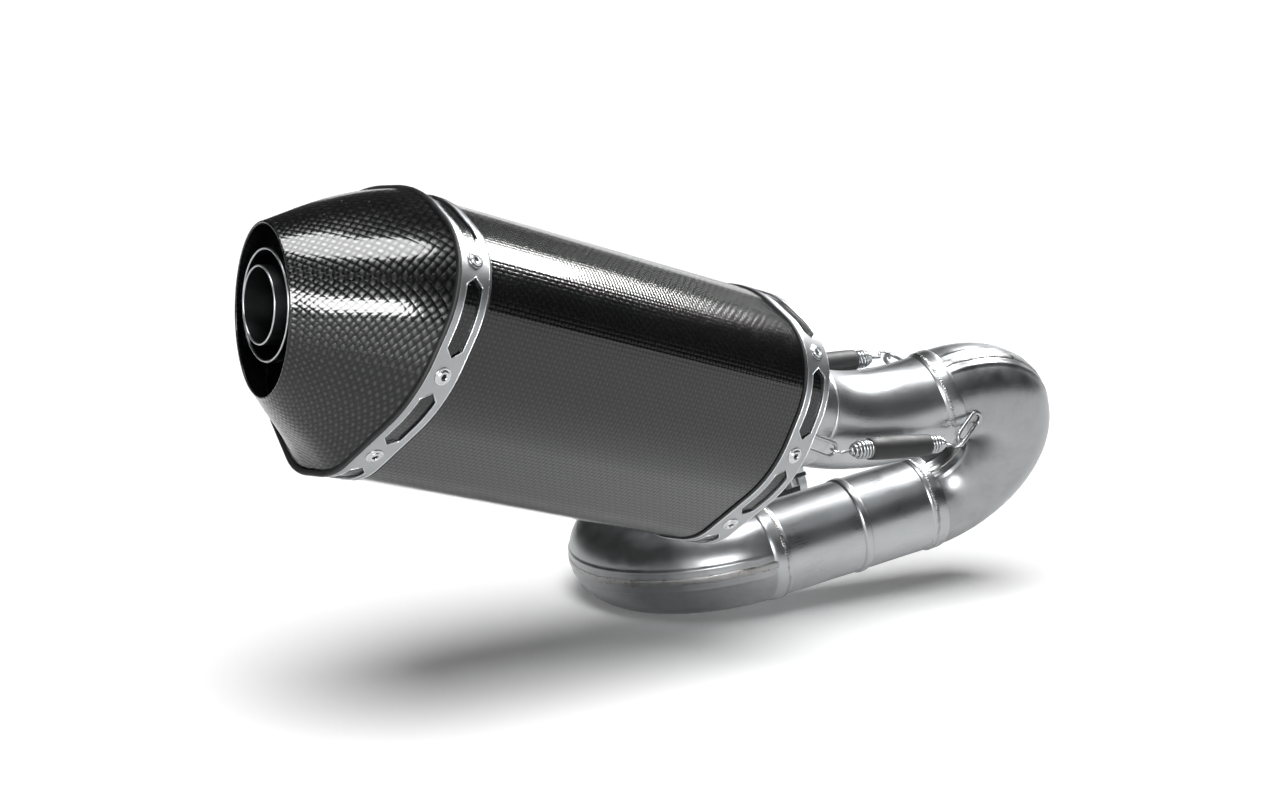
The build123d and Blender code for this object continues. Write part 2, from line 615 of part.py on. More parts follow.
coil_length = SPRING_PITCH * SPRING_TURNS
silencer_hooks, pipe_hooks = [], []
for name, places in SPRINGS.items():
    a, b, foot_a, foot_b = (Vector(*place) for place in places)
    span = (b - a).length
    pull = (b - a).normalized()
    middle = (a + b) * 0.5
    out = Vector(1, -0.25, 0) if name == "near" else Vector(middle.X, middle.Y, 0)
    out = (out - pull * out.dot(pull)).normalized()
    frame = Plane(a, x_dir=out, z_dir=pull)
    lead = (span - coil_length) / 2
    helix = Pos(0, 0, lead) * Helix(SPRING_PITCH, coil_length, SPRING_COIL_R)
    coil = sweep(Plane(helix @ 0, z_dir=helix % 0) * Circle(SPRING_WIRE_R), path=helix, is_frenet=True)
    wires = [frame.location * coil]
    to_turn = out * (SPRING_COIL_R - SPRING_WIRE_R - COIL_GAP)
    for hooks, eye, foot, away in ((silencer_hooks, a, foot_a, pull), (pipe_hooks, b, foot_b, pull * -1)):
        hook, across = hook_loop(foot, eye, away, out)
        hooks.append(hook)
        turn_in = eye + away * lead
        wires.append(spring_end(eye, away, across, turn_in, turn_in + to_turn))
    save(group(wires), f"spring_{name}", can)
    guard = Cylinder(GUARD_R, GUARD_LENGTH) - Cylinder(GUARD_R - GUARD_WALL, GUARD_LENGTH + 2)
    save(Pos(0, 0, span / 2) * guard, f"guard_{name}", can.location * frame.location)
save(group(silencer_hooks), "silencer_hooks", can)
save(group(pipe_hooks), "pipe_hooks", can)

# =============================================================== hanger ======
eye_y, eye_z = HANGER_EYE
side_plane = Plane((HANGER_X, 0, 0), x_dir=(0, 1, 0), z_dir=(1, 0, 0))
outline = make_hull(
    [
        *(Pos(eye_y, eye_z) * Circle(HANGER_R)).edges(),
        *(Pos(2, 52) * Rectangle(34, 22)).edges(),
    ]
)
hanger = extrude(side_plane * outline, HANGER_WALL)
hanger = hanger - Pos(HANGER_X, eye_y, eye_z) * (Rot(0, 90, 0) * Cylinder(HANGER_BORE_R, 30))
can_space = extrude(can_face(SKIRT_OFF - 0.3, front_z[0] - 0.5, SLOPES["front"]), 60, dir=(0, 0, 1))
hanger = hanger - cone_skin - can_space
hanger = group([hanger.solids().sort_by(SortBy.VOLUME)[-1]])
save(hanger, "hanger_plate", can)
bush_at = Pos(HANGER_X + HANGER_WALL / 2, eye_y, eye_z) * Rot(0, 90, 0)
rubber = Cylinder(HANGER_BORE_R - 0.05, HANGER_WALL)
for side in (1, -1):
    lip_ring = Cylinder(HANGER_R - 0.5, 4.0)
    rubber = rubber + Pos(0, 0, side * (HANGER_WALL / 2 + 2.05)) * lip_ring
rubber = rubber + Cylinder(HANGER_BORE_R - 0.05, HANGER_WALL + 1)
rubber = rubber - Cylinder(BUSH_R + 0.05, 60)
save(bush_at * rubber, "hanger_rubber", can)
save(bush_at * (Cylinder(BUSH_R, BUSH_LENGTH) - Cylinder(BUSH_BORE_R, 40)), "hanger_bush", can)
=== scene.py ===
import json
from math import asin, cos, degrees, hypot, pi, radians, sin, sqrt

import bpy
from mathutils import Matrix, Vector, noise


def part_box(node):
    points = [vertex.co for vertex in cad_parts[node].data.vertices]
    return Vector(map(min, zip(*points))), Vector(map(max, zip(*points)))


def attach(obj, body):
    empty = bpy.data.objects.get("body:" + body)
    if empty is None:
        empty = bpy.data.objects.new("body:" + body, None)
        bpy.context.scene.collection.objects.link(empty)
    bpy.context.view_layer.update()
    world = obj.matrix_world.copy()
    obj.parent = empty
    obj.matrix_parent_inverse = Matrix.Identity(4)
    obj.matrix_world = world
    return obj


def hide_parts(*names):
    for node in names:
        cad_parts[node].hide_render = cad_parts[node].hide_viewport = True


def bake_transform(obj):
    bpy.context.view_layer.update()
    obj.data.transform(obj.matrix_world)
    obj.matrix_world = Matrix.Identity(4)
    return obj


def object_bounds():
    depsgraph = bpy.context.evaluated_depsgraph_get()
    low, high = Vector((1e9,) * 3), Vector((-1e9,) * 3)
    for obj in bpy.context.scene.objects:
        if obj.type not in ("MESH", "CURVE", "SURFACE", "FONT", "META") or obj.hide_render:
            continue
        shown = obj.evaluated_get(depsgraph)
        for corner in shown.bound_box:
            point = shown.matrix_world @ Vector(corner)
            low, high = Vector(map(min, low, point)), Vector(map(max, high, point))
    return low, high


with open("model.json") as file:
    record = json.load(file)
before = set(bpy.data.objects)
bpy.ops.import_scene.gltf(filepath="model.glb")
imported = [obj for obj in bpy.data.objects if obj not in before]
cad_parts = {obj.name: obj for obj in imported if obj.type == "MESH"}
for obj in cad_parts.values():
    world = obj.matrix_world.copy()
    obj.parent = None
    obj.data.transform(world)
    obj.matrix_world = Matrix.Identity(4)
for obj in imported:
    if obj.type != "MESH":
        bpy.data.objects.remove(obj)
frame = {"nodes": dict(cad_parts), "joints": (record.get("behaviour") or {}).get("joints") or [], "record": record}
cad_low, cad_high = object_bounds()
record = frame["record"]
MM = 0.001

# ---- Places, all from the frame ---------------------------------------------
joints = {j["name"]: j for j in frame["joints"]}
mounts = {m["name"]: m for m in record["mounts"]}
UP = Vector((0, 0, 1))
FORWARD = Vector(mounts["inlet"]["axis"]).normalized()
MOUTH = Vector(joints["silencer_slip"]["pos_m"])
REARWARD = Vector(joints["silencer_slip"]["axis"]).normalized()
OUTLET = Vector(joints["insert_slide"]["pos_m"])
OUTWARD = Vector(joints["insert_slide"]["axis"]).normalized()

# ---- Link pipe, as in the CAD -----------------------------------------------
PIPE_R = 30.25 * MM
INLET_LEG = 88.0 * MM
LOW_BEND_R = 68.4 * MM
REAR_TUBE = 61.5 * MM
FRONT_TUBE = 53.5 * MM
HIGH_BEND_R = 51.9 * MM
HIGH_BEND_ANGLE = 189.2
HIGH_BEND_LEAN = 35.8
SWAN_R = 131.4 * MM
SWAN_ANGLE = 43.15
SWAN_ROLL = 179.4
SWAN_LEAD = 7.0 * MM
SWAN_INSIDE = 38.0 * MM

# ---- Can --------------------------------------------------------------------
# Radius, half spacing and height of the three pairs of circles round which the section is stretched.
HULL = ((30.6, 5.8, -56.7), (50.9, 27.5, 2.8), (69.7, 5.5, -5.9))
CAN_ROLL = 4.4
SLOPES = {"front": (-0.018, -0.055), "rear": (0.062, -0.121)}
STRAP_WIDTH = 19.0 * MM
CAN_FRONT = 69.7 * MM
CAN_REAR = 347.7 * MM
SLEEVE_OFF = 1.1
SLEEVE_WALL = 1.2
LIP_CENTRE = (-5.8, -12.3, 402.3)
LIP_SEMI = (33.8, 43.4)
LIP_YAW = 12.9
LIP_PITCH = 12.6
LIP_BULGE = 2.4
RIVET_ARCS = (35.8, 93.5, 155.3)


def can_axes():
    outboard = UP.cross(REARWARD).normalized()
    if outboard.y > 0:
        outboard.negate()
    return outboard, REARWARD.cross(outboard)


CAN_X, CAN_Y = can_axes()


def can_point(x, y, z):
    """A point in the can's frame, in metres: outboard, up, rearward."""
    return MOUTH + CAN_X * x + CAN_Y * y + REARWARD * z


def can_point_mm(p):
    return can_point(p[0] * MM, p[1] * MM, p[2] * MM)


# ============================================================ mesh tools =====
def new_object(name, verts, faces, uvs):
    mesh = bpy.data.meshes.new(name)
    mesh.from_pydata([tuple(v) for v in verts], [], faces)
    layer = mesh.uv_layers.new(name="UVMap")
    for poly in mesh.polygons:
        for loop in poly.loop_indices:
            layer.data[loop].uv = uvs[poly.index][loop - poly.loop_start]
    mesh.update()
    mesh.shade_smooth()
    obj = bpy.data.objects.new(name, mesh)
    bpy.context.collection.objects.link(obj)
    return obj


def skin(name, rings, closed_round=True, closed_along=False):
    """Surface through rings of points; its UV map is in metres, u round and v along."""
    count = len(rings[0])
    verts = [p for ring in rings for p in ring]
    faces, uvs = [], []
    along = [0.0]
    for a, b in zip(rings, rings[1:] + rings[:1]):
        along.append(along[-1] + sum((q - p).length for p, q in zip(a, b)) / count)
    middle = rings[len(rings) // 2]
    around = [0.0]
    for p, q in zip(middle, middle[1:] + middle[:1]):
        around.append(around[-1] + (q - p).length)
    rows = len(rings) if closed_along else len(rings) - 1
    cols = count if closed_round else count - 1
    for i in range(rows):
        for j in range(cols):
            ni, nj = (i + 1) % len(rings), (j + 1) % count
            faces.append((i * count + j, i * count + nj, ni * count + nj, ni * count + j))
            u0, u1, v0, v1 = around[j], around[j + 1], along[i], along[i + 1]
            uvs.append(((u0, v0), (u1, v0), (u1, v1), (u0, v1)))
    return new_object(name, verts, faces, uvs)


def axes_for(z):
    z = z.normalized()
    x = (UP if abs(z.z) < 0.9 else Vector((1, 0, 0))).cross(z).normalized()
    return x, z.cross(x), z


def lathe(name, profile, origin, direction, count=96):
    """Turned piece from (radius, height) pairs in metres, closed back on itself."""
    x, y, z = axes_for(direction)
    rings = []
    for r, h in profile:
        ring = []
        for i in range(count):
            a = 2 * pi * i / count
            ring.append(origin + (x * cos(a) + y * sin(a)) * r + z * h)
        rings.append(ring)
    return skin(name, rings, closed_along=True)


def rounded(corners, radius, steps=4):
    """Closed outline with each corner rounded."""
    out = []
    n = len(corners)
    for i, (cx, cy) in enumerate(corners):
        c = Vector((cx, cy))
        a, b = Vector(corners[i - 1]), Vector(corners[(i + 1) % n])
        r = min(radius, (a - c).length * 0.45, (b - c).length * 0.45)
        p, q = c + (a - c).normalized() * r, c + (b - c).normalized() * r
        for k in range(steps + 1):
            t = k / steps
            v = p * (1 - t) ** 2 + c * 2 * t * (1 - t) + q * t * t
            out.append((v.x, v.y))
    return out


def transported(points):
    """Tangent and two normals at each point of a wire, turning as little as possible."""
    frames = []
    side = None
    for i, p in enumerate(points):
        a, b = points[max(i - 1, 0)], points[min(i + 1, len(points) - 1)]
        t = (b - a).normalized()
        if side is None:
            side = axes_for(t)[0]
        side = (side - t * side.dot(t)).normalized()
        frames.append((p, t, side, t.cross(side)))
    return frames


def wire(name, points, radius, count=14):
    """Round wire along the points, with rounded ends."""
    turns = [2 * pi * i / count for i in range(count)]
    frames = transported(points)
    rings = [[p + (s * cos(a) + n * sin(a)) * radius for a in turns] for p, t, s, n in frames]
    for end, way in ((0, -1), (-1, 1)):
        p, t, s, n = frames[end]
        caps = []
        for k in (0.5, 0.85, 0.999):
            r = radius * sqrt(1 - k * k)
            q = p + t * way * radius * k
            caps.append([q + (s * cos(a) + n * sin(a)) * r for a in turns])
        rings = caps[::-1] + rings if way < 0 else rings + caps
    return skin(name, rings)


def joined(name, objects):
    """Several meshes as one piece, UV maps kept."""
    bpy.ops.object.select_all(action="DESELECT")
    for o in objects:
        o.select_set(True)
    bpy.context.view_layer.objects.active = objects[0]
    if len(objects) > 1:
        bpy.ops.object.join()
    objects[0].name = name
    objects[0].data.name = name
    return objects[0]


def finish_piece(obj, material, body, slot, *nodes):
    obj.data.materials.clear()
    obj.data.materials.append(material)
    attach(obj, body)
    if nodes:
        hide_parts(*nodes)
    return obj


# ============================================================= materials =====
class Shader:
    """A node material built in a few words."""

    def __init__(self, name):
        self.material = bpy.data.materials.new(name)
        self.material.use_nodes = True
        self.tree = self.material.node_tree
        self.bsdf = self.tree.nodes["Principled BSDF"]

    def node(self, kind, **settings):
        n = self.tree.nodes.new(kind)
        for key, value in settings.items():
            setattr(n, key, value)
        return n

    def link(self, out, socket):
        self.tree.links.new(out, socket)

    def put(self, socket, value):
        if isinstance(value, bpy.types.NodeSocket):
            self.link(value, socket)
        else:
            socket.default_value = value

    def math(self, operation, a, b=0.0, clamp=False):
        n = self.node("ShaderNodeMath", operation=operation, use_clamp=clamp)
        self.put(n.inputs[0], a)
        self.put(n.inputs[1], b)
        return n.outputs[0]

    def uv(self):
        n = self.node("ShaderNodeUVMap", uv_map="UVMap")
        split = self.node("ShaderNodeSeparateXYZ")
        self.link(n.outputs[0], split.inputs[0])
        return n.outputs[0], split.outputs[0], split.outputs[1]

    def position(self):
        return self.node("ShaderNodeTexCoord").outputs["Object"]

    def mapped(self, vector, scale, turn=(0, 0, 0)):
        n = self.node("ShaderNodeMapping")
        self.link(vector, n.inputs["Vector"])
        n.inputs["Scale"].default_value = scale
        n.inputs["Rotation"].default_value = turn
        return n.outputs[0]

    def noise(self, vector, scale, detail=4.0, roughness=0.55):
        n = self.node("ShaderNodeTexNoise")
        self.link(vector, n.inputs["Vector"])
        n.inputs["Scale"].default_value = scale
        n.inputs["Detail"].default_value = detail
        n.inputs["Roughness"].default_value = roughness
        return n.outputs["Fac"]

    def spread(self, value, low, high, to_low, to_high):
        n = self.node("ShaderNodeMapRange")
        self.put(n.inputs[0], value)
        for socket, number in zip(list(n.inputs)[1:5], (low, high, to_low, to_high)):
            socket.default_value = number
        return n.outputs[0]

    def tint(self, value, stops):
        n = self.node("ShaderNodeValToRGB")
        self.link(value, n.inputs[0])
        ramp = n.color_ramp
        while len(ramp.elements) < len(stops):
            ramp.elements.new(0.5)
        for element, (at, colour) in zip(ramp.elements, stops):
            element.position = at
            element.color = (*colour, 1)
        return n.outputs[0]

    def bump(self, height, distance, strength=1.0, under=None):
        n = self.node("ShaderNodeBump")
        n.inputs["Strength"].default_value = strength
        n.inputs["Distance"].default_value = distance
        self.link(height, n.inputs["Height"])
        if under is not None:
            self.link(under, n.inputs["Normal"])
        return n.outputs[0]

    def surface(self, **sockets):
        for name, value in sockets.items():
            self.put(self.bsdf.inputs[name.replace("_", " ")], value)
        return self.material


COOL = -0.025


def grey(value, warm=COOL):
    return (value * (1 + warm), value, value * (1 - warm))


def brushed_metal(name, tone, rough, along, depth=0.02, uses_uv=True):
    """Satin metal with drawn grain, soft blotches and fine scuffs."""
    s = Shader(name)
    place = s.uv()[0] if uses_uv else s.position()
    grain = s.noise(s.mapped(place, (along[0] * 40, along[1] * 40, along[0] * 40)), 1.0, 6.0, 0.7)
    patches = s.noise(s.position(), 38.0, 3.0)
    scuffs = s.noise(s.mapped(place, (180, 900, 180)), 1.0, 2.0, 0.8)
    mixed = s.math("ADD", s.math("MULTIPLY", grain, 0.6), s.math("MULTIPLY", patches, 0.4))
    colour = s.tint(mixed, [(0.25, grey(tone * 0.80)), (0.5, grey(tone)), (0.8, grey(tone * 1.13))])
    roughness = s.spread(mixed, 0.3, 0.7, rough * 0.78, rough * 1.3)
    normal = s.bump(s.math("ADD", grain, s.math("MULTIPLY", scuffs, 0.3)), depth * MM, 0.5)
    return s.surface(Base_Color=colour, Metallic=1.0, Roughness=roughness, Normal=normal)


def pressed_metal(name, tone, rough):
    """Pressed sheet with the fine sandy grain and slow waviness of a stamped shell."""
    s = Shader(name)
    place = s.position()
    grain = s.noise(place, 1400.0, 2.0, 0.6)
    waves = s.noise(place, 30.0, 3.0, 0.5)
    stains = s.noise(place, 75.0, 5.0, 0.65)
    colour = s.tint(stains, [(0.25, grey(tone * 0.84)), (0.5, grey(tone)), (0.78, grey(tone * 1.12))])
    roughness = s.spread(stains, 0.3, 0.7, rough * 0.85, rough * 1.2)
    sandy = s.bump(grain, 0.02 * MM, 0.6)
    normal = s.bump(waves, 0.5 * MM, 0.25, sandy)
    return s.surface(Base_Color=colour, Metallic=1.0, Roughness=roughness, Normal=normal)


def weld_metal(name, tone):
    """Rippled weld with warm heat stains."""
    s = Shader(name)
    place = s.position()
    ripple = s.noise(place, 900.0, 3.0, 0.6)
    stains = s.noise(place, 120.0, 4.0, 0.6)
    stops = [(0.2, grey(tone * 0.62, 0.03)), (0.5, grey(tone, 0.01)), (0.8, grey(tone * 1.2))]
    return s.surface(
        Base_Color=s.tint(stains, stops),
        Metallic=1.0,
        Roughness=s.spread(stains, 0.3, 0.7, 0.22, 0.42),
        Normal=s.bump(ripple, 0.06 * MM, 0.5),
    )


def weave(s, tow, turn):
    """Height and over-under mask of a plain weave whose tows are `tow` metres wide."""
    place = s.uv()[0]
    turned = s.mapped(place, (1 / tow, 1 / tow, 1), (0, 0, turn))
    split = s.node("ShaderNodeSeparateXYZ")
    s.link(turned, split.inputs[0])
    u, v = split.outputs[0], split.outputs[1]
    cell_u, cell_v = s.math("FLOOR", u), s.math("FLOOR", v)
    step = s.math("ADD", cell_u, cell_v)
    phase = s.math("FLOORED_MODULO", step, 2.0)
    over = s.math("LESS_THAN", phase, 1.0)
    fu = s.math("SUBTRACT", s.math("MULTIPLY", s.math("FRACT", u), 2.0), 1.0)
    fv = s.math("SUBTRACT", s.math("MULTIPLY", s.math("FRACT", v), 2.0), 1.0)
    uu, vv = s.math("MULTIPLY", fu, fu), s.math("MULTIPLY", fv, fv)

    def crown(across, along):
        """A tow is highest on its middle line and sinks towards its sides and ends."""
        fall = s.math("ADD", s.math("MULTIPLY", across, 0.75), s.math("MULTIPLY", along, 0.45))
        return s.math("SUBTRACT", 1.0, fall)

    under = s.math("SUBTRACT", 1.0, over)
    warp = s.math("MULTIPLY", over, crown(uu, vv))
    weft = s.math("MULTIPLY", under, crown(vv, uu))
    return s.math("ADD", warp, weft), over, turned


def carbon(name, tow, turn, depth, coat_depth, glint_tones, rough, coat_rough, coat_weight):
    """Woven carbon cloth under a clear coat."""
    s = Shader(name)
    height, over, turned = weave(s, tow, turn)
    strands = s.noise(s.mapped(turned, (14, 14, 1)), 1.0, 2.0, 0.7)
    haze = s.noise(s.position(), 24.0, 3.0)
    raised = s.math("POWER", s.math("MAXIMUM", height, 0.0), 1.6)
    # Painted glint: the base colour is lighter on each tow's crown, and a little lighter on the over-lying tows,
    # where light would catch the weave.
    crown = s.math("MULTIPLY", raised, s.spread(strands, 0.2, 0.8, 0.75, 1.2))
    painted_weave_glint = s.math("ADD", s.math("MULTIPLY", crown, 0.8), s.math("MULTIPLY", over, 0.2))
    colour = s.tint(painted_weave_glint, [(0.0, grey(glint_tones[0])), (0.55, grey(glint_tones[1])), (1.0, grey(glint_tones[2]))])
    s.surface(
        Base_Color=colour,
        Metallic=0.75,
        Roughness=s.spread(haze, 0.3, 0.7, rough * 0.9, rough * 1.15),
        Normal=s.bump(height, depth * MM, 1.0),
        Coat_Weight=coat_weight,
        Coat_Roughness=coat_rough,
        Coat_IOR=1.5,
        Coat_Normal=s.bump(height, coat_depth * MM, 1.0),
    )
    return s.material


def rubbery(name, tone, rough, grain=500.0):
    s = Shader(name)
    place = s.position()
    fine = s.noise(place, grain, 3.0, 0.6)
    dust = s.noise(place, 90.0, 4.0, 0.6)
    colour = s.tint(dust, [(0.3, grey(tone * 0.75)), (0.7, grey(tone * 1.35))])
    roughness = s.spread(dust, 0.3, 0.7, rough * 0.9, min(1.0, rough * 1.15))
    return s.surface(Base_Color=colour, Roughness=roughness, Normal=s.bump(fine, 0.05 * MM, 0.5))


TITANIUM = brushed_metal("titanium_tube", tone=0.40, rough=0.30, along=(70.0, 2.5), depth=0.008)
TITANIUM_CAD = brushed_metal("titanium_sheet", tone=0.55, rough=0.32, along=(30.0, 30.0), uses_uv=False)
PRESSED = pressed_metal("pressed_titanium", tone=0.30, rough=0.33)
WELD = weld_metal("weld_metal", 0.30)
STRAP = brushed_metal("strap_steel", tone=0.36, rough=0.36, along=(45.0, 45.0), uses_uv=False)
RIVET = brushed_metal("rivet_steel", tone=0.55, rough=0.26, along=(50.0, 50.0), uses_uv=False)
STAINLESS = brushed_metal("stainless_wire", tone=0.38, rough=0.30, along=(50.0, 8.0))
SPRING = brushed_metal("spring_wire", tone=0.40, rough=0.28, along=(60.0, 8.0))
ZINC = brushed_metal("zinc_plate", tone=0.5, rough=0.35, along=(30.0, 30.0), uses_uv=False)
# Painted shade: the outlet tube and insert get a near-black copy of the metal for the shade inside the outlet.
OUTLET_PAINTED_SHADE = brushed_metal("outlet_metal_painted_shade", tone=0.045, rough=0.33, along=(60.0, 6.0))
# Painted highlight: a light copy of the outlet metal for the outlet and insert rims.
RIM_HIGHLIGHT = brushed_metal("outlet_rim_painted_highlight", tone=0.5, rough=0.30, along=(60.0, 6.0))
# Painted highlight: a light copy of the strap metal for the wires along the strap edges and slot outlines.
STRAP_EDGE_HIGHLIGHT = brushed_metal("strap_edge_painted_highlight", tone=0.62, rough=0.28, along=(40.0, 40.0), uses_uv=False)
# Painted shade: a near-black metal for the inlet clamp, for the shade it sits in between the pipes.
CLAMP_PAINTED_SHADE = brushed_metal("clamp_painted_shade", tone=0.05, rough=0.40, along=(30.0, 30.0), uses_uv=False)
SLEEVE = carbon("sleeve_carbon", 2.5 * MM, 0.0, 0.12, 0.012, (0.001, 0.004, 0.03), rough=0.20,
                coat_rough=0.05, coat_weight=0.68)
CAP = carbon("cap_carbon", 2.9 * MM, radians(45), 0.24, 0.04, (0.001, 0.004, 0.045), rough=0.28,
             coat_rough=0.08, coat_weight=0.66)
SEAL = rubbery("black_seal", 0.012, 0.55)
SILICONE = rubbery("silicone_guard", 0.009, 0.60, 900.0)
WOOL = rubbery("packing_wool", 0.45, 0.9, 700.0)

# ============================================================= link pipe =====


class Route:
    """Centre line of the bent tube, as stations of place, heading and bend side."""

    def __init__(self, point, heading, side):
        self.point, self.heading, self.side = point, heading, side

    def straight(self, length, steps=24):
        start = self.point
        self.point = start + self.heading * length
        return [(start + self.heading * length * i / steps, self.heading.copy(), self.side.copy())
                for i in range(steps + 1)]

    def bend(self, radius, angle, roll=0.0, steps=96):
        self.side = Matrix.Rotation(radians(roll), 3, self.heading) @ self.side
        start, ahead, side = self.point, self.heading, self.side
        out = []
        for i in range(steps + 1):
            a = radians(angle) * i / steps
            out.append((start + (ahead * sin(a) + side * (1 - cos(a))) * radius,
                        ahead * cos(a) + side * sin(a), side * cos(a) - ahead * sin(a)))
        self.point, self.heading, self.side = (v.copy() for v in out[-1])
        return out


def tube_rings(stations, radius, count=120, shape=None):
    """Rings round the stations; angle 0 is the outer side of the bend."""
    rings = []
    for k, (p, t, s) in enumerate(stations):
        n = t.cross(s)
        ring = []
        for i in range(count):
            a = 2 * pi * i / count
            r = radius + (shape(k / (len(stations) - 1), a) if shape else 0.0)
            ring.append(p + (-s * cos(a) + n * sin(a)) * r)
        rings.append(ring)
    return rings


def bump_shape(x, width):
    """Smooth bump, 1 at 0 and 0 beyond the width."""
    return (0.5 + 0.5 * cos(pi * x / width)) if abs(x) < width else 0.0


def pressed_bend(name, stations):
    """Bent shell pair: the sheet rises to a narrow flange along both seams."""

    def shape(t, a):
        seam = min(abs(a), abs(2 * pi - a), abs(a - pi)) * PIPE_R / MM
        ends = bump_shape(t, 0.06) + bump_shape(1 - t, 0.06)
        flange = 0.45 * min(1.0, max(0.0, (8.6 - seam) / 1.6)) + 0.22 * bump_shape(seam - 6.4, 1.7)
        return flange * MM * (1 - ends)

    return skin(name, tube_rings(stations, PIPE_R, 320, shape))


def seam_strip(name, stations, angle, half_width=2.5, height=0.32, step=1.3):
    """Raised weld along a bend's seam, rippled like a row of overlapped coins."""
    rows = 17
    dense = []
    for (p, t, s), (q, u, w) in zip(stations, stations[1:]):
        for i in range(4):
            f = i / 4
            dense.append((p.lerp(q, f), t.lerp(u, f).normalized(), s.lerp(w, f).normalized()))
    dense.append(stations[-1])
    rings = []
    run = 0.0
    last = None
    for p, t, s in dense:
        n = t.cross(s)
        base = p + (-s * cos(angle)) * PIPE_R
        run += (base - last).length if last is not None else 0.0
        last = base
        wander = noise.noise(Vector((run * 60, angle, 0))) * 0.5
        grow = 1 + 0.18 * noise.noise(Vector((run * 220, 3, angle)))
        ripple = 0.07 * cos(2 * pi * run / (step * MM))
        ring = []
        for j in range(rows):
            x = j / (rows - 1) * 2 - 1
            w = half_width * grow * MM
            crest = height * (1 - x * x) ** 0.7 * (1 + ripple * (1 - abs(x))) + 0.12
            lift = crest * MM if abs(x) < 1 else -0.3 * MM
            a = angle + (x * w + wander * MM) / PIPE_R
            ring.append(p + (-s * cos(a) + n * sin(a)) * (PIPE_R + 0.4 * MM + lift))
        rings.append(ring)
    return skin(name, rings, closed_round=False)


def swage_ring(name, centre, heading, side, half=6.2, height=0.8, count=240):
    """Smooth raised band where one tube is expanded over the next."""
    n = heading.cross(side)
    rings = []
    rows = 18
    for j in range(rows + 1):
        x = j / rows * 2 - 1
        lift = height * (1 - x ** 4) ** 1.5 - (0.3 if abs(x) == 1 else 0.0)
        ring = []
        for i in range(count):
            a = 2 * pi * i / count
            uneven = 0.08 * noise.noise(Vector((cos(a) * 3, sin(a) * 3, centre.x * 30)))
            r = PIPE_R + (0.1 + lift + uneven) * MM
            ring.append(centre + heading * x * half * MM + (side * cos(a) + n * sin(a)) * r)
        rings.append(ring)
    return skin(name, rings)


def weld_ring(name, centre, heading, side, width=1.3, height=0.4, base=0.6, count=720, step=1.7):
    """Narrow weld run beside a band, rippled and a little uneven."""
    n = heading.cross(side)
    rings = []
    rows = 13
    for j in range(rows):
        x = j / (rows - 1) * 2 - 1
        ring = []
        for i in range(count):
            a = 2 * pi * i / count
            arc = a * PIPE_R
            grow = 1 + 0.5 * noise.noise(Vector((cos(a) * 9, sin(a) * 9, centre.x * 20)))
            ripple = 0.35 * cos(2 * pi * arc / (step * MM) + 1.1 * x * x)
            wobble = 0.5 * noise.noise(Vector((cos(a) * 5, sin(a) * 5, centre.x * 40)))
            crest = height * grow * (1 - x * x) ** 0.6 * (1 + ripple * (1 - x * x))
            lift = crest if abs(x) < 1 else -0.3
            r = PIPE_R + (base + lift) * MM
            place = centre + heading * (x * width * grow + wobble) * MM
            ring.append(place + (side * cos(a) + n * sin(a)) * r)
        rings.append(ring)
    return skin(name, rings)


route = Route(Vector((0, 0, 0)), -FORWARD, Vector((0, -1, 0)))
leg = route.straight(INLET_LEG)
low_bend = route.bend(LOW_BEND_R, 180)
rear_tube = route.straight(REAR_TUBE)
front_tube = route.straight(FRONT_TUBE)
route.side = FORWARD.cross(Vector((0, 1, 0)))
high_bend = route.bend(HIGH_BEND_R, HIGH_BEND_ANGLE, HIGH_BEND_LEAN)
swan = route.bend(SWAN_R, SWAN_ANGLE, SWAN_ROLL, steps=60)
lead = route.straight(SWAN_LEAD + SWAN_INSIDE, steps=12)

finish_piece(pressed_bend("low_bend", low_bend), PRESSED, "link", "pressed_titanium",
             "low_bend_shell_a", "low_bend_shell_b")
finish_piece(pressed_bend("high_bend", high_bend), PRESSED, "link", "pressed_titanium",
             "high_bend_shell_a", "high_bend_shell_b")
for stem, stations in (("low_bend", low_bend), ("high_bend", high_bend)):
    strips = [seam_strip(f"{stem}_strip", stations[1:-1], a) for a in (0.0, pi)]
    finish_piece(joined(f"{stem}_seam_weld", strips), WELD, "link", "weld", f"{stem}_seam")
for name, stations, node in (
    ("rear_tube", rear_tube, "lower_tube_rear"),
    ("front_tube", front_tube, "lower_tube_front"),
    ("swan_pipe_skin", swan + lead[1:], "swan_pipe"),
):
    finish_piece(skin(name, tube_rings(stations, PIPE_R)), TITANIUM, "link", "titanium", node)

# Bands where the tubes meet; the middle one is a plain bead, the rest carry a weld run.
WELD_BESIDE = 2.4 * MM
bands, runs = [], []
for stations, beside in ((low_bend, -1), (rear_tube, 1), (front_tube, 0), (high_bend, -1), (swan, 1)):
    p, t, s = stations[0]
    bands.append(swage_ring("band", p, t, s) if beside else swage_ring("band", p, t, s, 3.2, 1.0))
    if beside:
        runs.append(weld_ring("run", p + t * WELD_BESIDE * beside, t, s))
finish_piece(joined("pipe_bands", bands), TITANIUM, "link", "titanium", "pipe_welds")
finish_piece(joined("round_welds", runs), WELD, "link", "weld")

# ================================================================ can ========


def hull_reach(direction, off):
    direction -= radians(CAN_ROLL)
    nx, ny = cos(direction), sin(direction)
    return max(abs(nx) * x + ny * y + r - off for r, x, y in HULL)


def hull_radius(angle, off=0.0):
    """Distance from the can's axis to its skin, in millimetres."""
    spread = [angle + radians(d / 2) for d in range(-120, 121)]
    return min(hull_reach(t, off) / cos(t - angle) for t in spread)


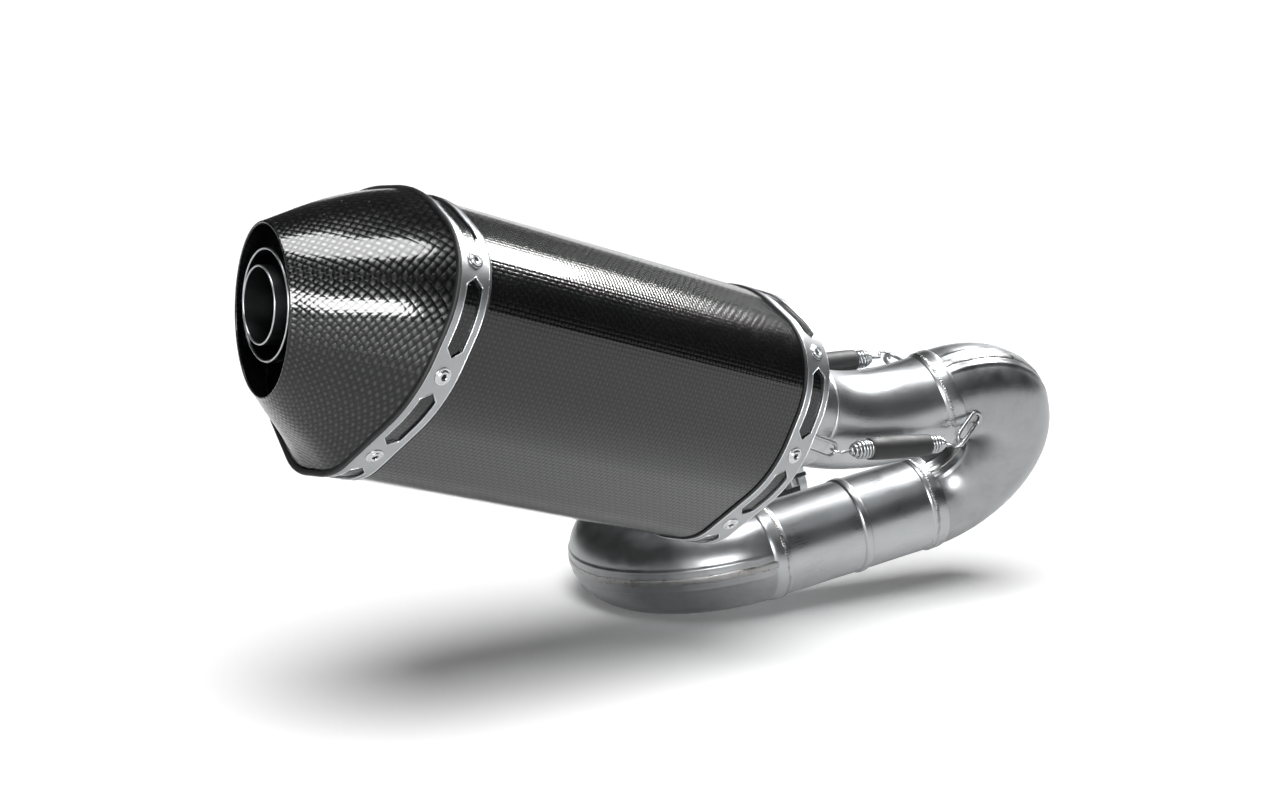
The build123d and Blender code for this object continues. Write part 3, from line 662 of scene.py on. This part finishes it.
AROUND = 240
ANGLES = [2 * pi * i / AROUND - pi / 2 for i in range(AROUND)]
BASE_RADII = [hull_radius(a) for a in ANGLES]
SLEEVE_RADII = [hull_radius(a, SLEEVE_OFF) for a in ANGLES]


def slope_at(share):
    """Slope of a cut across the can, from its front end at 0 to its rear end at 1."""
    (a, b), (c, d) = SLOPES["front"], SLOPES["rear"]
    return a + (c - a) * share, b + (d - b) * share


def can_ring(radii, z, grow=0.0, share=None):
    """Ring round the can; its cut leans like the nearer end's unless a share is given."""
    if share is None:
        share = 0.0 if z < (CAN_FRONT + CAN_REAR) / 2 else 1.0
    slope_x, slope_y = slope_at(share)
    ring = []
    for r, a in zip(radii, ANGLES):
        x, y = (r + grow) * MM * cos(a), (r + grow) * MM * sin(a)
        ring.append(can_point(x, y, z + slope_x * x + slope_y * y))
    return ring


sleeve_front, sleeve_rear = CAN_FRONT + 0.8 * MM, CAN_REAR - 0.6 * MM
sleeve_span = sleeve_rear - sleeve_front
sleeve_shares = [i / 60 for i in range(61)]
outer = [can_ring(SLEEVE_RADII, sleeve_front + sleeve_span * f, 0.0, f) for f in sleeve_shares]
inner = [can_ring(SLEEVE_RADII, z, -SLEEVE_WALL) for z in (sleeve_rear, sleeve_front)]
sleeve_skin = skin("sleeve_skin", outer + inner, closed_along=True)
finish_piece(sleeve_skin, SLEEVE, "silencer", "carbon", "carbon_sleeve")


def ease(t):
    """Share of the lip's offset reached at t: half straight, half eased."""
    return t * t * (3 - 2 * t) * 0.5 + t * 0.5


def outlet_turn(t):
    """Degrees about x and y, from the oblique base to the lip."""
    a, b = SLOPES["rear"]
    base_pitch, base_yaw = degrees(asin(b)), degrees(-asin(a))
    return base_pitch + (LIP_PITCH - base_pitch) * t, base_yaw + (-LIP_YAW - base_yaw) * t


def outlet_place(t):
    """Origin and axes of the end cap's section, from base 0 to lip 1."""
    x, y, z = LIP_CENTRE
    base = CAN_REAR / MM + 0.2
    origin = can_point_mm((x * ease(t), y * ease(t), base + (z - base) * t))
    pitch, yaw = outlet_turn(t)
    turn = Matrix.Rotation(radians(pitch), 3, "X") @ Matrix.Rotation(radians(yaw), 3, "Y")
    to_world = Matrix((CAN_X, CAN_Y, REARWARD)).transposed()
    m = to_world @ turn
    return origin, m.col[0].copy(), m.col[1].copy(), m.col[2].copy()


def cap_ring(t, off, push=0.0):
    origin, x, y, z = outlet_place(t)
    pitch, yaw = outlet_turn(t)
    ring = []
    for a, base in zip(ANGLES, BASE_RADII):
        oval = 1 / hypot(cos(a) / (LIP_SEMI[0]), sin(a) / (LIP_SEMI[1]))
        bulge = LIP_BULGE * sin(pi * t) * (0.7 + 0.3 * sin(a))
        r = (base * (1 - t) + oval * t + bulge - off) * MM
        across, up = r * cos(a) / cos(radians(yaw)), r * sin(a) / cos(radians(pitch))
        ring.append(origin + x * across + y * up + z * push * MM)
    return ring


cap_steps = 48
cap_rings = [cap_ring(i / cap_steps, 0.0) for i in range(cap_steps + 1)]
for k in range(1, 7):
    a = pi * k / 6
    cap_rings.append(cap_ring(1, 0.75 * (1 - cos(a)), 0.75 * sin(a)))
cap_rings += [cap_ring(1 - i / 16, 1.5) for i in range(1, 17)]
finish_piece(skin("end_cap_skin", cap_rings, closed_along=True), CAP, "silencer", "carbon", "end_cap")


def rolled_edge(name, z0, width, off, height):
    """Half-round bead round the can."""
    rings = []
    steps = 12
    for k in range(steps + 1):
        a = pi * k / steps
        rings.append(can_ring(BASE_RADII, z0 + width * (0.5 - 0.5 * cos(a)), off + height * sin(a)))
    rings.append(can_ring(BASE_RADII, z0 + width, off - 2.0))
    rings.append(can_ring(BASE_RADII, z0, off - 2.0))
    return skin(name, rings, closed_along=True)


finish_piece(rolled_edge("cap_edge", CAN_REAR + 0.2 * MM, 2.4 * MM, 0.2, 1.1), SEAL, "silencer", "seal")

# ---- Outlet tube and insert ----
OUTLET_R = 28.6 * MM
OUTLET_WALL = 1.1 * MM
INSERT_R = 20.0 * MM
INSERT_WALL = 1.0 * MM
INSERT_PROUD = 2.5 * MM
INSERT_LENGTH = 48.0 * MM
INSERT_RING = 9.0 * MM
INSERT_FLOOR = 1.5 * MM
OUTLET_RECESS = 1.0 * MM
OUTLET_DEPTH = 56.0 * MM


def tube_profile(radius, wall, low, high, edge):
    corners = [(radius - wall, low), (radius, low), (radius, high), (radius - wall, high)]
    return rounded(corners, edge, 4)


outlet = lathe("outlet_skin", tube_profile(OUTLET_R, OUTLET_WALL, -OUTLET_DEPTH, -OUTLET_RECESS, 0.5 * MM),
               OUTLET, OUTWARD, 160)
finish_piece(outlet, OUTLET_PAINTED_SHADE, "silencer", "dark_outlet", "outlet_tube")
insert_low = INSERT_PROUD - INSERT_LENGTH
ring_outer, ring_inner = OUTLET_R - OUTLET_WALL - 0.15 * MM, OUTLET_R - OUTLET_WALL - 1.2 * MM
insert_profile = rounded([
    (INSERT_R - INSERT_WALL, insert_low),
    (ring_outer, insert_low),
    (ring_outer, insert_low + INSERT_RING),
    (ring_inner, insert_low + INSERT_RING),
    (ring_inner, insert_low + INSERT_FLOOR),
    (INSERT_R, insert_low + INSERT_FLOOR),
    (INSERT_R, INSERT_PROUD),
    (INSERT_R - INSERT_WALL, INSERT_PROUD),
], 0.45 * MM, 4)
insert_skin = lathe("insert_skin", insert_profile, OUTLET, OUTWARD, 140)
finish_piece(insert_skin, OUTLET_PAINTED_SHADE, "insert", "dark_outlet", "outlet_insert")

# Thin rings over the outlet and insert rims in the lighter copy of the outlet metal: painted highlight on the rim
# edges.
for body, name, radius, wall, height in (
    ("silencer", "outlet_rim_painted_highlight", OUTLET_R, OUTLET_WALL, -OUTLET_RECESS),
    ("insert", "insert_rim_painted_highlight", INSERT_R, INSERT_WALL, INSERT_PROUD),
):
    middle, half = radius - wall / 2, wall / 2 + 0.06 * MM
    turns = [2 * pi * k / 12 for k in range(12)]
    profile = [(middle + half * cos(a), height - 0.35 * MM + half * sin(a)) for a in turns]
    finish_piece(lathe(name, profile, OUTLET, OUTWARD, 160), RIM_HIGHLIGHT, body, "dark_outlet")

# ---- Silencer mouth ----
COLLAR_R = 31.85 * MM
COLLAR_BORE_R = 30.32 * MM
COLLAR_ROLL = 0.9 * MM
COLLAR_LENGTH = 62.0 * MM
collar_profile = rounded([
    (COLLAR_BORE_R, 0), (COLLAR_R + COLLAR_ROLL, 0), (COLLAR_R + COLLAR_ROLL, 2.4 * MM),
    (COLLAR_R, 3.2 * MM), (COLLAR_R, COLLAR_LENGTH), (COLLAR_BORE_R, COLLAR_LENGTH),
], COLLAR_ROLL, 5)
collar_skin = lathe("collar_skin", collar_profile, MOUTH, REARWARD, 160)
finish_piece(collar_skin, TITANIUM, "silencer", "titanium", "inlet_collar")

# ---- Hollow rivets ----


def keel_table():
    """Arc length from the keel to each polar angle, up the outboard side, in millimetres."""
    table, last, length = [], None, 0.0
    for i in range(721):
        a = radians(-90 + i / 4 + CAN_ROLL)
        r = hull_radius(a)
        here = (r * cos(a), r * sin(a))
        if last:
            length += hypot(here[0] - last[0], here[1] - last[1])
        table.append((length, a))
        last = here
    return table


KEEL = keel_table()
HALF_GIRTH = KEEL[-1][0]


def angle_at(arc):
    """Polar angle at an arc length from the keel; negative arcs are inboard."""
    wanted = min(abs(arc), 2 * HALF_GIRTH - abs(arc))
    angle = min(KEEL, key=lambda entry: abs(entry[0] - wanted))[1]
    outboard = (arc >= 0) == (abs(arc) <= HALF_GIRTH)
    return angle if outboard else pi + 2 * radians(CAN_ROLL) - angle


def skin_point(angle, end, z, off=0.0):
    """Point on the can's skin in its own frame, in millimetres; z is that of the cut on the axis."""
    a, b = SLOPES[end]
    r = hull_radius(angle, off)
    x, y = r * cos(angle), r * sin(angle)
    return Vector((x, y, z + a * x + b * y))


def skin_frame(angle, end, z):
    """Point on the skin, the way round the end and the way out, in the can's own frame."""
    step = radians(0.5)
    before, here, after = (skin_point(a, end, z) for a in (angle - step, angle, angle + step))
    run = (after - before).normalized()
    return here, run, run.cross(Vector((0, 0, 1))).normalized()


def to_world(v):
    return CAN_X * v.x + CAN_Y * v.y + REARWARD * v.z


# Radius and height: the rolled hollow middle, then the flat flange round it.
RIVET_PROFILE = [
    (1.45, -2.2), (1.45, 0.75), (1.6, 1.12), (1.95, 1.42), (2.5, 1.52), (3.0, 1.38), (3.35, 1.0),
    (3.5, 0.62), (3.75, 0.5), (4.55, 0.45), (4.8, 0.3), (4.85, 0.05), (4.7, -0.05),
    (2.3, -0.05), (2.3, -2.2),
]
rivet_arcs = sorted([k * a for a in RIVET_ARCS for k in (1, -1)] + [HALF_GIRTH])
for end, middle in (("front", CAN_FRONT + STRAP_WIDTH / 2), ("rear", CAN_REAR - STRAP_WIDTH / 2)):
    rivets = []
    for arc in rivet_arcs:
        spot, run, out = skin_frame(angle_at(arc), end, middle / MM)
        profile = [(r * MM, h * MM) for r, h in RIVET_PROFILE]
        out = to_world(out)
        rivets.append(lathe(f"{end}_rivet", profile, can_point_mm(spot) + out * 0.05 * MM, out, 48))
    finish_piece(joined(f"{end}_rivet_set", rivets), RIVET, "silencer", "rivet_steel", f"{end}_rivets")


def loop_wire(name, points, radius, count=10):
    """Closed wire round the can or round a slot in its strap."""
    n = len(points)
    rings = []
    side = None
    for i, p in enumerate(points):
        t = (points[(i + 1) % n] - points[i - 1]).normalized()
        out = (p - MOUTH) - REARWARD * (p - MOUTH).dot(REARWARD)
        side = (out - t * out.dot(t)).normalized()
        across = t.cross(side)
        rings.append([p + (side * cos(a) + across * sin(a)) * radius for a in
                      (2 * pi * k / count for k in range(count))])
    return skin(name, rings, closed_along=True)


SLOT_HEIGHT = 10.6
SLOT_POINT = 4.6
SLOT_TO_RIVET = 9.5
RIM_R = 0.34


def slot_outline(arc0, arc1, end, z):
    """Outline of one strap slot, as points on the strap's skin."""
    inner0, inner1, half = arc0 + SLOT_POINT, arc1 - SLOT_POINT, SLOT_HEIGHT / 2
    corners = [(inner0, -half), (inner1, -half), (arc1, 0), (inner1, half), (inner0, half), (arc0, 0)]
    points = []
    for (a0, d0), (a1, d1) in zip(corners, corners[1:] + corners[:1]):
        steps = max(3, int(abs(a1 - a0) / 1.5))
        for i in range(steps):
            arc, across = a0 + (a1 - a0) * i / steps, d0 + (d1 - d0) * i / steps
            points.append(can_point_mm(skin_point(smooth_angle(arc), end, z + across)))
    return points


def smooth_angle(arc):
    """As angle_at, but between the table's entries."""
    base = angle_at(arc)
    probe = min(abs(arc), 2 * HALF_GIRTH - abs(arc))
    index = min(range(len(KEEL)), key=lambda i: abs(KEEL[i][0] - probe))
    length, angle = KEEL[index]
    other, next_angle = KEEL[min(index + 1, len(KEEL) - 1)]
    if other == length:
        return base
    shift = (probe - length) / (other - length) * (next_angle - angle)
    outboard = (arc >= 0) == (abs(arc) <= HALF_GIRTH)
    return base + (shift if outboard else -shift)


# Wires along the strap edges and round the slots, in the lighter copy of the strap metal: painted highlight on the
# edges.
for end, z0 in (("front", CAN_FRONT), ("rear", CAN_REAR - STRAP_WIDTH)):
    z1 = z0 + STRAP_WIDTH
    rims = []
    for z in (z0 + 0.25 * MM, z1 - 0.25 * MM):
        rims.append(loop_wire("rim", can_ring(BASE_RADII, z, -0.1), RIM_R * MM))
    stops = rivet_arcs + [rivet_arcs[0] + 2 * HALF_GIRTH]
    for arc0, arc1 in zip(stops, stops[1:]):
        outline = slot_outline(arc0 + SLOT_TO_RIVET, arc1 - SLOT_TO_RIVET, end, (z0 + z1) / 2 / MM)
        rims.append(loop_wire("rim", outline, RIM_R * 0.8 * MM, 8))
    finish_piece(joined(f"{end}_strap_rim_highlights", rims), STRAP_EDGE_HIGHLIGHT, "silencer", "strap_steel")

# ---- Springs, guards and hooks ----
# Silencer eye, pipe eye, foot of the silencer hook and foot of the pipe link, in the can's frame.
SPRINGS = {
    "near": ((39.7, -18.1, 6.5), (56.1, 3.2, -83.9), (34.3, -14.2, 44.5), (51.0, 20.8, -99.9)),
    "top": ((-37.2, 21.5, 0.1), (-17.6, 49.3, -87.8), (-32.4, 18.9, 44.5), (-2.4, 42.2, -106.1)),
    "low": ((-38.5, -21.8, -1.6), (-24.8, -5.6, -93.5), (-32.6, -18.5, 44.5), (-3.3, 11.0, -104.4)),
}
SPRING_WIRE_R = 0.85
SPRING_COIL_R = 4.9
SPRING_PITCH = 2.25
SPRING_TURNS = 32
SPRING_EYE_R = 3.5
COIL_TAPER = 3.2          # turns that shrink towards each end
TAPER_R = 0.36            # of the coil's radius, at its last turn
HOOK_WIRE_R = 1.3
HOOK_SLACK = 0.35
HOOK_HALF_WIDTH = 4.4
GUARD_R = 7.0
GUARD_WALL = 1.05
GUARD_LENGTH = 46.0


def hook_axes(foot, eye, away, out):
    """Apex of the hook's U, the way it reaches, and the way across it."""
    grip = SPRING_EYE_R - SPRING_WIRE_R - HOOK_WIRE_R - HOOK_SLACK
    apex = eye - away * grip
    reach = (apex - foot).normalized()
    return apex, reach, reach.cross(out).normalized()


def hook_line(foot, apex, reach, across):
    """Loop of wire from its welded feet round the eye."""
    near = apex - reach * HOOK_HALF_WIDTH
    aside = across * HOOK_HALF_WIDTH
    points = [(foot + aside).lerp(near + aside, i / 9) for i in range(9)]
    for i in range(17):
        t = pi * i / 16
        points.append(near + aside * cos(t) + reach * HOOK_HALF_WIDTH * sin(t))
    return points + [(near - aside).lerp(foot - aside, (i + 1) / 9) for i in range(9)]


def eye_line(eye, away, across):
    """Open eye that stands square to the hook it goes round, from its tip to the spring's axis."""
    rise = (away - across * away.dot(across)).normalized()
    side = across.cross(rise)
    points = []
    for k in range(17):
        t = radians(210 - 210 * k / 16)
        points.append(eye + (side * sin(t) + rise * cos(t)) * SPRING_EYE_R)
    return points


def spring_line(a, b, out, across_a, across_b):
    """Centre line of a spring: eye, tapering turns, coil, and the same at the other end."""
    pull = (b - a).normalized()
    side = pull.cross(out)
    coil = SPRING_PITCH * SPRING_TURNS
    lead = ((b - a).length - coil) / 2
    per_turn = 32
    total = SPRING_TURNS * per_turn
    points = eye_line(a, pull, across_a)
    for i in range(-per_turn // 4, total + per_turn // 4 + 1):
        turn = 2 * pi * i / per_turn
        inward = min(i, total - i) / per_turn
        grow = min(1.0, max(0.0, inward / COIL_TAPER))
        r = SPRING_COIL_R * (TAPER_R + (1 - TAPER_R) * sin(pi / 2 * grow)) * min(1.0, 1 + 4 * inward)
        along = lead + coil * min(max(i / total, -0.01), 1.01)
        points.append(a + pull * along + (out * cos(turn) + side * sin(turn)) * r)
    return points + eye_line(b, -pull, across_b)[::-1]


def on_pipe(place, lift):
    """A point of the can's frame moved onto the link pipe's skin, and the way out there."""
    world = can_point_mm(place)
    centre = min((p for p, t, s in high_bend + swan), key=lambda p: (p - world).length)
    out = (world - centre).normalized()
    lifted = centre + out * (PIPE_R + lift * MM) - MOUTH
    return (Vector([lifted.dot(v) / MM for v in (CAN_X, CAN_Y, REARWARD)]),
            Vector([out.dot(v) for v in (CAN_X, CAN_Y, REARWARD)]))


def link_line(foot, apex, reach, across):
    """Closed link: the hook's two legs joined by a half ring that lies on the pipe."""
    foot, normal = on_pipe(foot, 0.9)
    legs = hook_line(foot, apex, reach, across)
    aside = (legs[0] - legs[-1]) / 2
    back = legs[0] - legs[1]
    back = (back - normal * back.dot(normal)).normalized() * aside.length
    for i in range(1, 14):
        t = pi * i / 13
        legs.append(foot - aside * cos(t) + back * sin(t))
    return legs


def weld_dab(name, place, normal, radius, height):
    """Low uneven pool of weld; the sizes are in millimetres."""
    x, y, z = axes_for(normal)
    rings = []
    for j in range(9):
        lat = pi / 2 * j / 8.2
        ring = []
        for i in range(28):
            a = 2 * pi * i / 28
            uneven = 1 + 0.3 * noise.noise(Vector((cos(a) * 2, sin(a) * 2, place.x * 200 + j * 0.2)))
            r = radius * cos(lat) * uneven * MM
            ring.append(place + (x * cos(a) + y * sin(a)) * r + z * (height * sin(lat) * uneven - 0.2) * MM)
        rings.append(ring)
    return skin(name, rings)


def guard_profile():
    """Sleeve open at both ends, a little slimmer there."""
    half = GUARD_LENGTH / 2
    outer = []
    for k in range(17):
        t = -1 + k / 8
        outer.append(((GUARD_R - 0.45 * t ** 4) * MM, half * 0.985 * t * MM))
    inner = [((GUARD_R - GUARD_WALL) * MM, 0.99 * half * t * MM) for t in (1, 0.5, 0, -0.5, -1)]
    return outer + [((GUARD_R - 0.75) * MM, half * MM)] + inner + [((GUARD_R - 0.75) * MM, -half * MM)]


silencer_hooks, pipe_hooks, dabs = [], [], []
for name, places in SPRINGS.items():
    a, b, foot_a, foot_b = (Vector(p) for p in places)
    pull = (b - a).normalized()
    middle = (a + b) / 2
    out = Vector((1, -0.25, 0)) if name == "near" else Vector((middle.x, middle.y, 0))
    out = (out - pull * out.dot(pull)).normalized()
    apex_a, reach_a, across_a = hook_axes(foot_a, a, pull, out)
    apex_b, reach_b, across_b = hook_axes(foot_b, b, -pull, out)
    points = [can_point_mm(p) for p in spring_line(a, b, out, across_a, across_b)]
    coil = wire(f"{name}_spring_coil", points, SPRING_WIRE_R * MM, 12)
    coil.data.materials.append(SPRING)
    place_a, place_b = can_point_mm(a), can_point_mm(b)
    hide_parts(f"spring_{name}")
    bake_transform(coil)
    sleeve = lathe(f"{name}_guard_sleeve", guard_profile(), (place_a + place_b) / 2, place_b - place_a, 72)
    finish_piece(sleeve, SILICONE, "link", "silicone", f"guard_{name}")
    u_wire = [can_point_mm(p) for p in hook_line(foot_a, apex_a, reach_a, across_a)]
    silencer_hooks.append(wire(f"{name}_hook", u_wire, HOOK_WIRE_R * MM, 16))
    ring = [can_point_mm(p) for p in link_line(foot_b, apex_b, reach_b, across_b)]
    pipe_hooks.append(wire(f"{name}_link", ring, HOOK_WIRE_R * MM, 16))
    spot, normal = on_pipe(foot_b, 0.0)
    normal = to_world(normal)
    dabs.append(weld_dab("dab", can_point_mm(spot), normal, 3.6, 1.5))
hook_set = joined("silencer_hook_set", silencer_hooks)
finish_piece(hook_set, STAINLESS, "silencer", "stainless", "silencer_hooks")
finish_piece(joined("pipe_hook_set", pipe_hooks), STAINLESS, "link", "stainless", "pipe_hooks")
finish_piece(joined("hook_welds", dabs), WELD, "link", "weld")

# These keep the CAD's shape and only get a better surface.
for name, material in (
    ("front_strap", STRAP), ("rear_strap", STRAP), ("front_seal", SEAL), ("rear_seal", SEAL),
    ("front_cap", TITANIUM_CAD), ("perforated_core", STAINLESS), ("rear_bulkhead", TITANIUM_CAD),
    ("packing", WOOL), ("hanger_plate", TITANIUM_CAD), ("hanger_rubber", SILICONE), ("hanger_bush", ZINC),
    # The inlet clamp is made near black: painted shade.
    ("inlet_pipe", TITANIUM_CAD), ("inlet_clamp", CLAMP_PAINTED_SHADE), ("clamp_bolt", ZINC), ("clamp_nut", ZINC),
    ("collar_weld", WELD),
):
    node = frame["nodes"][name]
    node.data.materials.clear()
    node.data.materials.append(material)

# ============================================================ stage ==========
floor_level = min(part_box(f"low_bend_shell_{side}")[0].z for side in "ab")


def build_floor():
    """Plain white sheet that the low bend stands on, wide enough to meet the backdrop."""
    size = 60.0
    mesh = bpy.data.meshes.new("floor")
    corners = [(-size, -size), (size, -size), (size, size), (-size, size)]
    mesh.from_pydata([(x, y, floor_level) for x, y in corners], [], [(0, 1, 2, 3)])
    floor = bpy.data.objects.new("floor", mesh)
    bpy.context.collection.objects.link(floor)
    s = Shader("floor_white")
    paper = s.noise(s.position(), 3.0, 2.0)
    colour = s.tint(paper, [(0.2, (0.93, 0.93, 0.93)), (0.8, (0.95, 0.95, 0.95))])
    floor.data.materials.append(s.surface(Base_Color=colour, Roughness=0.9, Specular_IOR_Level=0.0,
                                          Emission_Color=colour, Emission_Strength=0.12))


def area_light(name, place, target, size, power):
    data = bpy.data.lights.new(name, "AREA")
    data.shape = "RECTANGLE"
    data.size, data.size_y = size
    data.energy = power
    light = bpy.data.objects.new(name, data)
    light.location = place
    light.rotation_euler = (Vector(target) - Vector(place)).to_track_quat("-Z", "Y").to_euler()
    bpy.context.collection.objects.link(light)
    return light


build_floor()
centre = (cad_low + cad_high) / 2


def toward(azimuth, elevation):
    """Direction from the object to a light: azimuth 0 is the -Y side, in degrees."""
    a, e = radians(azimuth), radians(elevation)
    return Vector((sin(a) * cos(e), -cos(a) * cos(e), sin(e)))


def sun_light(name, azimuth, elevation, strength, spread):
    data = bpy.data.lights.new(name, "SUN")
    data.energy = strength
    data.angle = radians(spread)
    light = bpy.data.objects.new(name, data)
    light.rotation_euler = (-toward(azimuth, elevation)).to_track_quat("-Z", "Y").to_euler()
    bpy.context.collection.objects.link(light)
    return light


# One light gives the floor its tone and soft shadow; the rest only show in the metal and clear coats.
sun_light("floor_light", -22.0, 52.0, 4.2, 36.0).visible_glossy = False
for light in (
    sun_light("overhead", -25.0, 80.0, 3.2, 28.0),
    area_light("front_soft", centre + toward(-28.0, 15.0) * 1.7, centre, (0.6, 0.36), 24),
    area_light("right_soft", centre + toward(108.0, 46.0) * 1.3, centre, (0.4, 0.34), 34),
    area_light("back_panel", centre + toward(141.0, 9.5) * 2.2, centre, (2.4, 0.38), 3.4),
):
    light.visible_diffuse = False
    light.visible_camera = False

world = bpy.data.worlds.new("studio")
bpy.context.scene.world = world
world.use_nodes = True
background = world.node_tree.nodes["Background"]
background.inputs["Color"].default_value = (0.8, 0.8, 0.8, 1)
background.inputs["Strength"].default_value = 0.05
bpy.context.scene.view_settings.view_transform = "Standard"

# Camera: outboard, behind and a little above.
CAMERA_PLACE = (-0.8145, -1.5827, 0.3666)
CAMERA_AZIMUTH = -23.9
CAMERA_DROP = 10.0
CAMERA_LENS = 73.4
camera_data = bpy.data.cameras.new("camera")
camera_data.sensor_width = 36.0
camera_data.lens = CAMERA_LENS
camera = bpy.data.objects.new("camera", camera_data)
camera.location = CAMERA_PLACE
a, e = radians(CAMERA_AZIMUTH), radians(CAMERA_DROP)
look = Vector((-sin(a) * cos(e), cos(a) * cos(e), -sin(e)))
camera.rotation_euler = look.to_track_quat("-Z", "Y").to_euler()
bpy.context.collection.objects.link(camera)
bpy.context.scene.camera = camera
